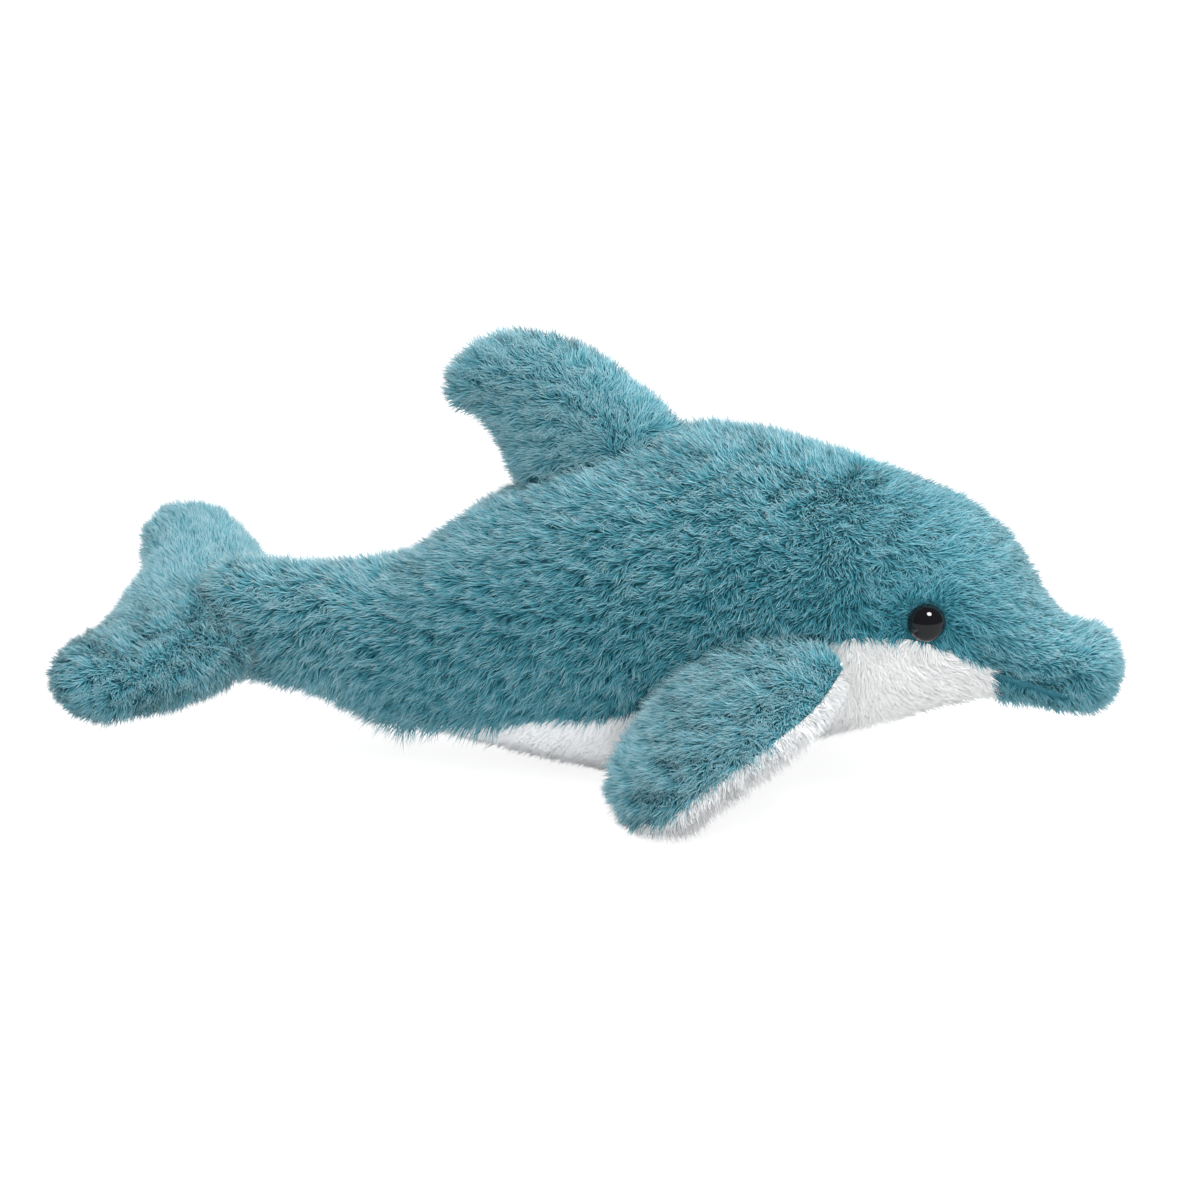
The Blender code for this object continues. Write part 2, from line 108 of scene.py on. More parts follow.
camera = add_camera()
print("lens:", round(camera.data.lens, 1), "mm")

# %% [markdown]
# ## Forms
#
# Every stuffed piece of the toy is a row of ellipses along a spine, closed by rounded ends. One
# class holds that idea for the body, the fin, the flippers and the fluke. A point on a form is a
# function of two numbers: a place along the spine, which runs past 0 and 1 round the ends, and an
# angle round the ellipse. Cloth and hair then read the same function, so hair always stands on its
# cloth. The sizes are those that the frame was built from.

# %% A smooth curve through a few rows
# How far a rounded end runs past 0 and 1, and the least that its ellipse shrinks to
CAP = 0.1
TIP_OPEN = 0.03
# A small step, for slopes
STEP = 1e-3


def curve(rows, places, column=1):
    """A cubic through the rows whose slope at a row is the harmonic mean of the slopes on both
    sides, or zero at a peak, so that it never overshoots."""
    table = np.array(rows, float)
    x, y = table[:, 0], table[:, column]
    step = np.diff(x)
    rise = np.diff(y) / step
    slope = np.zeros(len(x))
    same = rise[:-1] * rise[1:] > 0
    slope[1:-1][same] = 2 * rise[:-1][same] * rise[1:][same] / (rise[:-1] + rise[1:])[same]
    slope[0], slope[-1] = rise[0], rise[-1]
    at = np.clip(places, x[0], x[-1])
    i = np.clip(np.searchsorted(x, at, side="right") - 1, 0, len(x) - 2)
    t = (at - x[i]) / step[i]
    near = (1 + 2 * t) * (1 - t) ** 2 * y[i] + t * (1 - t) ** 2 * step[i] * slope[i]
    far = t**2 * (3 - 2 * t) * y[i + 1] - t**2 * (1 - t) * step[i] * slope[i + 1]
    return near + far


def thirds(values):
    """Rows for a root, middle and end value."""
    return tuple(zip((0.0, 0.5, 1.0), values))


def unit(vectors):
    return vectors / np.maximum(np.linalg.norm(vectors, axis=-1, keepdims=True), 1e-12)


def dot(a, b):
    return (a * b).sum(-1, keepdims=True)


# %% The form class
class Form:
    """A stuffed form. `ring` gives, for an array of shares from 0 to 1, the spine's points, the
    two directions of the ellipse, its two half sizes and the direction of the spine. `rounds` are
    how far the two ends reach. A place below 0 or above 1 lies on a rounded end, CAP wide."""

    def __init__(self, ring, rounds, floor=False):
        self.ring, self.rounds, self.floor = ring, rounds, floor
        _, across, up, _, _, ahead = ring(np.array([0.5]))
        self.side = -np.sign(dot(np.cross(across, up), ahead)[0, 0])

    def point(self, place, angle, depth=0.0):
        """centre + half sizes (less the depth) times cosine and sine of the angle. On an end the
        ellipse shrinks by cosine while its centre moves out by sine, which draws a quarter of an
        ellipse."""
        share = np.clip(place, 0, 1)
        past = np.clip((place - share) / CAP, -1, 1)
        turn = np.sin(past * math.pi / 2)
        shrink = np.maximum(np.cos(past * math.pi / 2), TIP_OPEN)
        base, across, up, wide, high, ahead = self.ring(share)
        reach = np.where(past < 0, self.rounds[0], self.rounds[1]) - depth
        centre = base + ahead * (turn * reach)[..., None]
        wide = (wide - depth) * shrink * np.cos(angle)
        high = (high - depth) * shrink * np.sin(angle)
        points = centre + wide[..., None] * across + high[..., None] * up
        if self.floor:
            points[..., 2] = np.maximum(points[..., 2], depth)
        return points

    def normal(self, place, angle, depth=0.0):
        """The cross product of the surface's two slopes, with the sign that makes it point out."""
        place = np.clip(place, -0.98 * CAP, 1 + 0.98 * CAP)
        along = self.point(place + STEP, angle, depth) - self.point(place - STEP, angle, depth)
        round_it = self.point(place, angle + STEP, depth) - self.point(place, angle - STEP, depth)
        return unit(np.cross(along, round_it)) * self.side

    def holds(self, points, margin=0.0):
        """Whether each point lies inside: it takes the nearest of a row of rings, and tests the
        ellipse there."""
        share = np.linspace(0, 1, 33)
        base, across, up, wide, high, ahead = self.ring(share)
        away = points[:, None] - base[None]
        nearest = (away**2).sum(-1).argmin(1)
        offset = away[np.arange(len(points)), nearest]
        a = (offset * across[nearest]).sum(-1) / (wide[nearest] + margin)
        b = (offset * up[nearest]).sum(-1) / (high[nearest] + margin)
        along = (offset * ahead[nearest]).sum(-1)
        reach = np.where(along < 0, self.rounds[0], self.rounds[1]) + margin
        ended = (nearest == 0) & (along < 0) | (nearest == len(share) - 1) & (along > 0)
        c = np.where(ended, along / reach, 0)
        return a**2 + b**2 + c**2 < 1


# %% [markdown]
# ## The body
#
# The real body is two teal side panels that meet along the back, a white belly panel and a small
# teal jaw panel. A table of underside, top and width at a few places draws its side and its top
# view, as a pattern cutter would. The seam under each flank is another short table. Where the
# ellipse would sink through the floor the surface stays on it, so the belly is flat there.

# %% Body sizes
BODY_LENGTH = 288 * MM
BODY_HEIGHT = 112 * MM
BODY_WIDTH = 93 * MM
TAIL_X = -120.9 * MM
BEAK_ROUND = 11 * MM
TAIL_ROUND = 10 * MM

# Place from tail to beak, then underside, top and width as shares of length, height and width
BODY_PROFILE = (
    (0.000, 0.210, 0.545, 0.320),
    (0.080, 0.178, 0.540, 0.355),
    (0.190, 0.096, 0.575, 0.505),
    (0.300, 0.045, 0.755, 0.753),
    (0.400, 0.003, 0.893, 0.930),
    (0.480, -0.023, 0.966, 0.997),
    (0.560, -0.020, 1.000, 0.995),
    (0.610, 0.036, 0.986, 0.972),
    (0.660, 0.109, 0.952, 0.935),
    (0.750, 0.174, 0.889, 0.839),
    (0.820, 0.235, 0.822, 0.720),
    (0.870, 0.260, 0.725, 0.580),
    (0.910, 0.250, 0.575, 0.440),
    (0.940, 0.232, 0.502, 0.376),
    (0.965, 0.240, 0.480, 0.355),
)
PROFILE_END = BODY_PROFILE[-1][0]

# Place, and degrees that the flank seam lies below the widest line
BELLY_START = 0.165
CHIN_END = 0.872
FLANK_SEAM = (
    (BELLY_START, 90.0),
    (0.226, 56.0),
    (0.301, 44.0),
    (0.370, 36.0),
    (0.490, 26.5),
    (0.610, 18.5),
    (0.743, 5.0),
    (0.780, 6.5),
    (0.829, 14.0),
    (CHIN_END, 24.0),
    (0.940, 15.0),
    (1.000, 20.0),
)


# %% Body form
def body_ring(share):
    place = share * PROFILE_END
    low = curve(BODY_PROFILE, place, 1) * BODY_HEIGHT
    high = curve(BODY_PROFILE, place, 2) * BODY_HEIGHT
    width = curve(BODY_PROFILE, place, 3) * BODY_WIDTH
    zero, one = np.zeros_like(place), np.ones_like(place)
    base = np.stack([TAIL_X + place * BODY_LENGTH, zero, (low + high) / 2], -1)
    across = np.stack([zero, one, zero], -1)
    up = np.stack([zero, zero, one], -1)
    ahead = np.stack([one, zero, zero], -1)
    return base, across, up, width / 2, (high - low) / 2, ahead


body = Form(body_ring, (TAIL_ROUND, BEAK_ROUND), floor=True)


def body_spot(place, degrees):
    """A point of the body's left side and the direction straight out of it."""
    where = np.array([place / PROFILE_END]), np.array([math.radians(degrees)])
    return body.point(*where)[0], body.normal(*where)[0]


def flank_seam(share):
    """The seam's angle below the widest line. Behind the belly panel it is straight below."""
    place = share * PROFILE_END
    drop = np.radians(curve(FLANK_SEAM, place))
    return np.where(place < BELLY_START, math.pi / 2, drop)


print("body top at the fin:", (body_spot(0.43, 90)[0] / MM).round(1))

# %% [markdown]
# ## Fin, flippers and fluke
#
# Each of these is a flat pocket of two panels, so its ellipse is long and thin. The fin's spine
# curves back from the shoulder, a flipper's bows outward until its tip lies on the floor, and the
# fluke's runs from one lobe to the other and bends back like a crescent. Quadratic curves through
# three marks are enough for all of them.

# %% Fin
# Its place on the back, its marks, then root, middle and tip, in metres and degrees
FIN_PLACE = 0.424
FIN_SUNK = 12 * MM
FIN_SPINE = ((0.006, 0.0), (-0.0165, 0.0185), (-0.0345, 0.0238))
FIN_CHORDS = (0.060, 0.042, 0.027)
FIN_LEAN = (22.0, 42.0, 60.0)
FIN_THICKNESS = (0.026, 0.021, 0.017)
FIN_ROUND = 13 * MM


def slope_of(spine, share):
    return unit(spine(np.minimum(share + STEP, 1)) - spine(np.maximum(share - STEP, 0)))


def fin_ring(share):
    """The spine is a quadratic through three marks (back, up), lowered to start in the back."""
    marks = np.array(FIN_SPINE)
    root, _ = body_spot(FIN_PLACE, 90)
    middle = 2 * marks[1] - (marks[0] + marks[2]) / 2

    def spine(share):
        t = share[..., None]
        flat = (1 - t) ** 2 * marks[0] + 2 * t * (1 - t) * middle + t**2 * marks[2]
        sunk = FIN_SUNK * (1 - share) ** 2
        return np.stack([root[0] + flat[..., 0], 0 * share, root[2] + flat[..., 1] - sunk], -1)

    lean = np.radians(curve(thirds(FIN_LEAN), share))
    across = np.stack([np.cos(lean), 0 * lean, np.sin(lean)], -1)
    up = np.stack([0 * lean, 0 * lean - 1, 0 * lean], -1)
    wide = curve(thirds(FIN_CHORDS), share) / 2
    high = curve(thirds(FIN_THICKNESS), share) / 2
    return spine(share), across, up, wide, high, slope_of(spine, share)


fin = Form(fin_ring, (FIN_ROUND, FIN_ROUND))

# %% Flippers
FLIPPER_PLACE = 0.695
FLIPPER_DROP = 15.0
FLIPPER_SUNK = 12 * MM
FLIPPER_BACK = 42 * MM
FLIPPER_OUT = 24 * MM
FLIPPER_BOW = 8 * MM
FLIPPER_AHEAD = 3 * MM
FLIPPER_CHORDS = (0.030, 0.053, 0.054)
FLIPPER_THICKNESS = (0.020, 0.021, 0.018)
FLIPPER_ROUND = 22 * MM
FLIPPER_SEAM_LIFT = 18.0
FLIPPER_TILTS = (37.0, 11.0)
FLIPPER_TIP_RISE = 8 * MM


def flipper_ring(share):
    """The right flipper's spine is a quadratic from inside the flank to the tip on the floor."""
    root, out = body_spot(FLIPPER_PLACE, -FLIPPER_DROP)
    start = (root - out * FLIPPER_SUNK) * (1, -1, 1)
    root_tilt, tip_tilt = np.radians(FLIPPER_TILTS)
    wide, high = FLIPPER_CHORDS[-1] / 2, FLIPPER_THICKNESS[-1] / 2
    rest = math.hypot(wide * math.sin(tip_tilt), high * math.cos(tip_tilt)) + FLIPPER_TIP_RISE
    tip = np.array([root[0] - FLIPPER_BACK, -root[1] - FLIPPER_OUT, rest])
    middle = (start + tip) / 2 + np.array([FLIPPER_AHEAD, -FLIPPER_BOW, FLIPPER_BOW])

    def spine(share):
        t = share[..., None]
        return (1 - t) ** 2 * start + 2 * t * (1 - t) * middle + t**2 * tip

    along = slope_of(spine, share)
    tilt = root_tilt + (tip_tilt - root_tilt) * share
    up = np.stack([0 * tilt, -np.sin(tilt), np.cos(tilt)], -1)
    up = unit(up - along * dot(up, along))
    wide = curve(thirds(FLIPPER_CHORDS), share) / 2
    high = curve(thirds(FLIPPER_THICKNESS), share) / 2
    return spine(share), np.cross(up, along), up, wide, high, along


flipper = Form(flipper_ring, (FLIPPER_ROUND, FLIPPER_ROUND), floor=True)

# %% Fluke
FLUKE_SPAN = 126 * MM
FLUKE_BEHIND = 13 * MM
FLUKE_RISE = -2.5 * MM
FLUKE_SWEEP = 17 * MM
FLUKE_ROLL = 14.5
FLUKE_TURN = -0.5
FLUKE_PITCH = 10.0
FLUKE_CHORDS = (0.050, 0.043, 0.032)
FLUKE_THICKNESS = (0.028, 0.028, 0.024)
FLUKE_ROUND = 16 * MM


def turning(roll, pitch, turn):
    """The rotation about X, then Y, then Z, as a matrix."""
    a, b, c = np.radians((roll, pitch, turn))
    about_x = np.array([[1, 0, 0], [0, math.cos(a), -math.sin(a)], [0, math.sin(a), math.cos(a)]])
    about_y = np.array([[math.cos(b), 0, math.sin(b)], [0, 1, 0], [-math.sin(b), 0, math.cos(b)]])
    about_z = np.array([[math.cos(c), -math.sin(c), 0], [math.sin(c), math.cos(c), 0], [0, 0, 1]])
    return about_z @ about_y @ about_x


def fluke_ring(share):
    """The spine is a parabola across the tail's end, swept back from its middle."""
    tail = body_ring(np.array([0.0]))[0][0]
    centre = tail + np.array([-FLUKE_BEHIND, 0, FLUKE_RISE])
    forward, sideways, upward = turning(FLUKE_ROLL, FLUKE_PITCH, -FLUKE_TURN).T
    half = FLUKE_SPAN / 2 - FLUKE_ROUND

    def spine(share):
        t = (2 * share - 1)[..., None]
        return centre + sideways * t * half - forward * FLUKE_SWEEP * t**2

    def both_ways(values):
        middle, lobe, tip = values
        return tuple(zip((0.0, 0.25, 0.5, 0.75, 1.0), (tip, lobe, middle, lobe, tip)))

    along = slope_of(spine, share)
    up = np.broadcast_to(upward, along.shape)
    wide = curve(both_ways(FLUKE_CHORDS), share) / 2
    high = curve(both_ways(FLUKE_THICKNESS), share) / 2
    return spine(share), np.cross(along, up), up, wide, high, along


fluke = Form(fluke_ring, (FLUKE_ROUND, FLUKE_ROUND))
fluke_middle = fluke_ring(np.array([0.5]))[0][0]
print("fluke's middle in mm:", (fluke_middle / MM).round(1))

# %% [markdown]
# ## Shader maths
#
# A material is a graph, but its arithmetic reads better as Python. `Value` wraps one socket and
# overloads the operators, so `1 - v * 0.5` adds two Math nodes. `Finish` holds one material and
# has a single method for every other kind of node.


# %% Shader helpers
class Value:
    """One number in a shader graph. Arithmetic on it adds Math nodes."""

    def __init__(self, finish, socket):
        self.finish, self.socket = finish, socket

    def maths(self, operation, first, second):
        node = self.finish.node("ShaderNodeMath", {"operation": operation}, (first, second))
        return Value(self.finish, node.outputs[0])

    def __add__(self, other):
        return self.maths("ADD", self, other)

    def __radd__(self, other):
        return self.maths("ADD", other, self)

    def __sub__(self, other):
        return self.maths("SUBTRACT", self, other)

    def __rsub__(self, other):
        return self.maths("SUBTRACT", other, self)

    def __mul__(self, other):
        return self.maths("MULTIPLY", self, other)

    def __rmul__(self, other):
        return self.maths("MULTIPLY", other, self)


class Finish:
    """A material under construction. Constants go straight on the Principled BSDF's sockets."""

    def __init__(self, name, **constants):
        self.material = bpy.data.materials.new(name)
        self.material.use_nodes = True
        self.tree = self.material.node_tree
        self.shader = self.tree.nodes["Principled BSDF"]
        for words, value in constants.items():
            self.shader.inputs[words.replace("_", " ").title()].default_value = value

    def node(self, kind, settings=None, inputs=None):
        """Adds a node, sets its properties (a colour ramp's `stops` too) and fills its sockets."""
        node = self.tree.nodes.new(kind)
        for name, value in (settings or {}).items():
            if name == "stops":
                ramp = node.color_ramp
                while len(ramp.elements) < len(value):
                    ramp.elements.new(0.5)
                for element, (place, colour) in zip(ramp.elements, value):
                    element.position, element.color = place, (*colour, 1)
            else:
                setattr(node, name, value)
        pairs = inputs.items() if isinstance(inputs, dict) else enumerate(inputs or ())
        for key, value in pairs:
            self.fill(node.inputs[key], value)
        return node

    def fill(self, socket, value):
        if isinstance(value, Value):
            value = value.socket
        if isinstance(value, bpy.types.NodeSocket):
            self.tree.links.new(value, socket)
        else:
            socket.default_value = value

    def sets(self, name, value):
        self.fill(self.shader.inputs[name], value)


# %% [markdown]
# ## Pile cloth
#
# On real pile the roots of the hairs lie in shadow deep in the pile, and the dye varies a little
# from lock to lock. The colour paints that shade in: each hair is darker towards its root and
# lighter towards its tip. So each hair carries two numbers in its UV map: `u`, how light its lock
# is, and `v`, from 0 at the root to 1 at the tip. The colour is a function of the two: one ramp
# for the darkest lock, one for the lightest, mixed by `u`, both with painted shade at the root.
# The same map serves the cloth below, which is coloured as the roots are, with the same painted
# shade. Sheen gives the halo that fine fibres show against the light.

# %% Pile materials
HAIR_MAP = "OFBake"


def pile_finish(name, dark, light, sheen):
    """A mix by u of two ramps along v."""
    finish = Finish(name, roughness=0.62, sheen_weight=sheen, sheen_roughness=0.5)
    finish.shader.inputs["Sheen Tint"].default_value = (*light[-1][1], 1)
    finish.shader.inputs["Specular IOR Level"].default_value = 0.08
    hair = finish.node("ShaderNodeUVMap", {"uv_map": HAIR_MAP})
    parts = finish.node("ShaderNodeSeparateXYZ", None, (hair.outputs[0],))
    u, v = parts.outputs[0], parts.outputs[1]
    ramps = [finish.node("ShaderNodeValToRGB", {"stops": stops}, (v,)) for stops in (dark, light)]
    colour = finish.node(
        "ShaderNodeMix",
        {"data_type": "RGBA"},
        {0: u, 6: ramps[0].outputs[0], 7: ramps[1].outputs[0]},
    )
    finish.sets("Base Color", colour.outputs[2])
    return finish.material


# Teal from nearly black at the root to light at the tip: painted shade of the pile's depth
teal_pile = pile_finish(
    "teal_pile",
    ((0.0, (0.002, 0.028, 0.040)), (0.50, (0.009, 0.122, 0.164)), (1.0, (0.055, 0.300, 0.368))),
    ((0.0, (0.040, 0.200, 0.252)), (0.50, (0.115, 0.345, 0.405)), (1.0, (0.500, 0.555, 0.570))),
    0.12,
)
# White with a little painted shade towards the root
white_pile = pile_finish(
    "white_pile",
    ((0.0, (0.62, 0.62, 0.61)), (0.50, (0.63, 0.63, 0.62)), (1.0, (0.64, 0.64, 0.63))),
    ((0.0, (0.87, 0.88, 0.88)), (0.50, (0.87, 0.88, 0.89)), (1.0, (0.88, 0.89, 0.90))),
    0.10,
)

# %% [markdown]
# ## Cloth
#
# The cloth under the pile is a closed shell: an outer grid of points, an inner one a little
# deeper, and a wall along its four edges. It could be a sheet with a Solidify modifier, but the
# form already knows its surface at any depth, so the inner face is exact where two panels meet.

# %% Cloth shells
CLOTH_DEPTH = 1.6 * MM
CLOTH_INNER = 3.0 * MM


def make_piece(name, points, faces, uv, material, normals=None):
    """A mesh object at the origin. `faces` has a row of point numbers for each face, and `uv` and
    `normals` have a row for each point."""
    mesh = bpy.data.meshes.new(name)
    points, corners = points.reshape(-1, 3), faces.ravel()
    mesh.vertices.add(len(points))
    mesh.vertices.foreach_set("co", points.astype(np.float32).ravel())
    mesh.loops.add(len(corners))
    mesh.loops.foreach_set("vertex_index", corners.astype(np.int32))
    mesh.polygons.add(len(faces))
    starts = np.arange(0, len(corners), faces.shape[1], dtype=np.int32)
    mesh.polygons.foreach_set("loop_start", starts)
    mesh.polygons.foreach_set("use_smooth", np.ones(len(faces), bool))
    mesh.update(calc_edges=True)
    layer = mesh.uv_layers.new(name=HAIR_MAP)
    layer.data.foreach_set("uv", uv.reshape(-1, 2)[corners].astype(np.float32).ravel())
    mesh.materials.append(material)
    if normals is not None:
        mesh.normals_split_custom_set_from_vertices(normals.reshape(-1, 3).tolist())
    mesh.validate()
    piece = bpy.data.objects.new(name, mesh)
    bpy.context.scene.collection.objects.link(piece)
    return piece


def grid(rows, columns, closed=False):
    """Quads of a grid of points. A closed one joins its last column to its first."""
    i, j = np.meshgrid(np.arange(rows - 1), np.arange(columns - (not closed)), indexing="ij")
    a = (i * columns + j).ravel()
    b = (i * columns + (j + 1) % columns).ravel()
    return np.stack([a, a + columns, b + columns, b], -1)


class Panel:
    """A piece of pile cloth: a form, the places it spans, and the two angles that bound it at a
    place. `mirrored` puts it on the toy's other side."""

    def __init__(self, name, form, span, low, high, mirrored=False):
        self.name, self.form, self.span = name, form, span
        self.low, self.high, self.mirrored = low, high, mirrored

    def angle(self, place, share):
        low, high = self.low(np.clip(place, 0, 1)), self.high(np.clip(place, 0, 1))
        return low + (high - low) * share

    def spots(self, place, share, depth):
        """Points and outward directions on the panel's side of the toy."""
        angle = self.angle(place, share)
        points = self.form.point(place, angle, depth)
        normals = self.form.normal(place, angle, depth)
        flip = np.array([1, -1 if self.mirrored else 1, 1])
        return points * flip, normals * flip

    def net(self, rows, columns):
        """Places and shares of a net of points over the whole panel."""
        place = np.linspace(*self.span, rows)[:, None]
        return np.broadcast_arrays(place, np.linspace(0, 1, columns)[None])

    def cloth(self, rows, columns, material, slot):
        """The panel as a closed shell. Its faces are turned over where the form's side is negative
        and where the panel is mirrored, but not where both are."""
        place, share = self.net(rows, columns)
        outer, _ = self.spots(place, share, CLOTH_DEPTH)
        inner, _ = self.spots(place, share, CLOTH_INNER)
        count = rows * columns
        faces = grid(rows, columns)
        number = np.arange(count).reshape(rows, columns)
        edges = [number[0, ::-1], number[:, 0], number[-1], number[::-1, -1]]
        walls = [np.stack([e[:-1], e[1:], e[1:] + count, e[:-1] + count], -1) for e in edges]
        faces = np.concatenate([faces, faces[:, ::-1] + count, *walls])
        if self.mirrored == (self.form.side > 0):
            faces = faces[:, ::-1]
        # The colour of a middling lock close to its roots, dark with the roots' painted shade
        colour = np.stack([0.3 + 0.2 * share, 0.02 + 0.05 * np.clip(place, 0, 1)], -1)
        points, uv = np.stack([outer, inner]), np.stack([colour, colour])
        piece = make_piece(f"{self.name}_cloth", points, faces, uv, material)
        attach(piece, "root")
        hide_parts(self.name)


# %% The panels
def constant(degrees):
    """The same angle at every place."""
    return lambda place: np.full(np.shape(place), math.radians(degrees))


def seam_left(share):
    """Angles grow from the left side over the back to the right one and on under the belly."""
    return -flank_seam(share)


def seam_right(share):
    return math.pi + flank_seam(share)


def seam_left_again(share):
    return 2 * math.pi - flank_seam(share)


# A form's whole length, and a pocket's from where it leaves the body
WHOLE = (-CAP, 1 + CAP)
OUTWARD = (0.1, 1 + CAP)
SEAM_SHARE = CHIN_END / PROFILE_END
START_SHARE = BELLY_START / PROFILE_END
patterns = [
    ("side_panel_left", body, WHOLE, seam_left, constant(90)),
    ("side_panel_right", body, WHOLE, constant(90), seam_right),
    ("belly_panel", body, (START_SHARE, SEAM_SHARE), seam_right, seam_left_again),
    ("lower_jaw_panel", body, (SEAM_SHARE, 1 + CAP), seam_right, seam_left_again),
    ("fin_panel_right", fin, OUTWARD, constant(0), constant(180)),
    ("fin_panel_left", fin, OUTWARD, constant(180), constant(360)),
    ("fluke_panel_top", fluke, WHOLE, constant(0), constant(180)),
    ("fluke_panel_under", fluke, WHOLE, constant(180), constant(360)),
]
for side, mirrored in (("right", False), ("left", True)):
    for face, low, high in (
        ("top", FLIPPER_SEAM_LIFT, 180),
        ("under", 180, 360 + FLIPPER_SEAM_LIFT),
    ):
        limits = constant(low), constant(high)
        patterns.append((f"flipper_{side}_{face}", flipper, OUTWARD, *limits, mirrored))
panels = {pattern[0]: Panel(*pattern) for pattern in patterns}

BODY_ROWS = 56
POCKET_ROWS = 30
COLUMNS = 18
WHITE = ("belly_panel", "flipper_left_under", "flipper_right_under")


def pile_of(name):
    """The material and the slot of a panel's cloth and pile."""
    return (white_pile, "white_pile") if name in WHITE else (teal_pile, "teal_pile")


for name, panel in panels.items():
    panel.cloth(BODY_ROWS if panel.form is body else POCKET_ROWS, COLUMNS, *pile_of(name))
print("cloth panels:", len(panels))

# %% [markdown]
# ## Hair
#
# Blender's own hair would be the quick way, but its strands are curves that the exported meshes
# lose. So each hair here is a three-sided needle: three points round the root and one at the tip,
# three triangles in all, leaning along its comb direction. A flat ribbon would take two, but turns
# black wherever its back shows, and a needle has no back. Hairs are drawn towards the tip of
# their lock, which opens the dark gaps between locks. All of it is array arithmetic on every hair
# of a panel at once.

# %% Smooth steps and smooth noise
rng = np.random.default_rng(20)


def ease(values, start, end):
    """0 up to start, 1 past end, and smooth between."""
    t = np.clip((values - start) / (end - start), 0, 1)
    return t * t * (3 - 2 * t)


def beakward(points, start, end):
    """0 behind start, 1 ahead of end: millimetres along the toy, from its middle to the beak."""
    return ease(points[:, 0], start * MM, end * MM)


def stretch(points, start, full, fading, end):
    """1 from full to fading along the toy, and 0 behind start and ahead of end."""
    return beakward(points, start, full) * (1 - beakward(points, fading, end))


def waves(points, size, seed):
    """Smooth noise from -1 to 1: the mean of sines along random directions, about `size` long."""
    draw = np.random.default_rng(seed)
    directions = unit(draw.normal(size=(7, 3))) * (2 * math.pi / size)
    phases = draw.uniform(0, 2 * math.pi, 7)
    return np.clip(np.sin(points @ directions.T + phases).mean(-1) * 1.8, -1, 1)


# %% Where hairs grow
def scatter(panel, density):
    """Random places on a panel. Cells of a coarse grid are drawn by their area, and a hair lands
    anywhere in its cell. Faces that look down, where the toy lies on its pile, get fewer."""
    rows, columns = 90, 40
    place, share = panel.net(rows + 1, columns + 1)
    points, normals = panel.spots(place, share, CLOTH_DEPTH)
    along, over = points[1:, :-1] - points[:-1, :-1], points[:-1, 1:] - points[:-1, :-1]
    areas = np.linalg.norm(np.cross(along, over), axis=-1)
    areas = (areas * (1 - 0.6 * ease(-normals[:-1, :-1, 2], 0.7, 0.95))).ravel()
    count = int(areas.sum() / MM**2 * density)
    cell = rng.choice(len(areas), count, p=areas / areas.sum())
    step = (panel.span[1] - panel.span[0]) / rows
    row = cell // columns + rng.uniform(size=count)
    column = cell % columns + rng.uniform(size=count)
    return panel.span[0] + row * step, column / columns


def lock_places(panel, place, share, size):
    """The middle of the lock that each hair belongs to. Rows of locks lie across the panel,
    `size` apart, with as many to a row as fit its width, and each is jittered by its number."""
    start, extent = panel.span[0], panel.span[1] - panel.span[0]
    angle = panel.angle(place, 0.5 * np.ones_like(place))
    slope = panel.form.point(place + STEP, angle) - panel.form.point(place - STEP, angle)
    length = extent * np.linalg.norm(slope, axis=-1).mean() / (2 * STEP)
    rows = max(int(length / size), 1)
    row = np.floor((place - start) / extent * rows)
    middle = start + (row + 0.5) / rows * extent
    fine = np.linspace(0, 1, 9)
    ring = panel.form.point(middle[:, None], panel.angle(middle[:, None], fine[None]))
    girth = np.linalg.norm(np.diff(ring, axis=1), axis=-1).sum(-1)
    columns = np.maximum(np.round(girth / size), 1)
    # Odd factors scramble the row and the column into numbers that look random
    shift = np.modf(row * 0.618)[0]
    column = np.floor(share * columns + shift)
    jitter = np.modf(np.abs(np.sin(row * 12.9898 + column * 78.233) * 43758.5453))[0]
    other = np.modf(jitter * 97.31)[0]
    new_place = middle + (jitter - 0.5) * 0.8 * extent / rows
    new_share = np.clip((column + 0.5 - shift + (other - 0.5) * 0.8) / columns, 0, 1)
    return new_place, new_share, jitter


# %% How hairs lie
FLOOR_GAP = 0.3 * MM
SAG = (0, 0, -0.03)
TUFT = 5 * MM


def hair_tips(coat, root, normal, wild, trim):
    """Tips of straight hairs. Each leaves its root between the comb's direction, which smooth noise
    turns in patches and in tufts, and the surface's normal: flat at a stand of 0, upright at 1. The
    pile lies flatter on surfaces that look up or down, and on the cheek."""
    flat = coat["comb"](root, normal)
    flat = unit(flat - normal * dot(flat, normal))
    side = np.cross(normal, flat)
    swirl = 0.4 * waves(root, 34 * MM, 3) + 0.9 * waves(root, 6 * MM, 4)
    turn = (swirl * coat["swirl"])[:, None]
    flat = flat * np.cos(turn) + side * np.sin(turn) + wild * coat["wild"]
    stand = coat["stand"] * (1 - 0.25 * np.abs(normal[:, 2])) + 0.06 * waves(root, TUFT, 5)
    stand = stand - 0.18 * stretch(root, 75, 105, 115, 135)
    lean = np.radians(90 * (1 - np.clip(stand, 0.15, 1)))[:, None]
    long = coat["length"](root) * (1 + 0.14 * waves(root, 14 * MM, 6)) * trim
    return root + unit(normal * np.cos(lean) + flat * np.sin(lean) + SAG) * long[:, None]


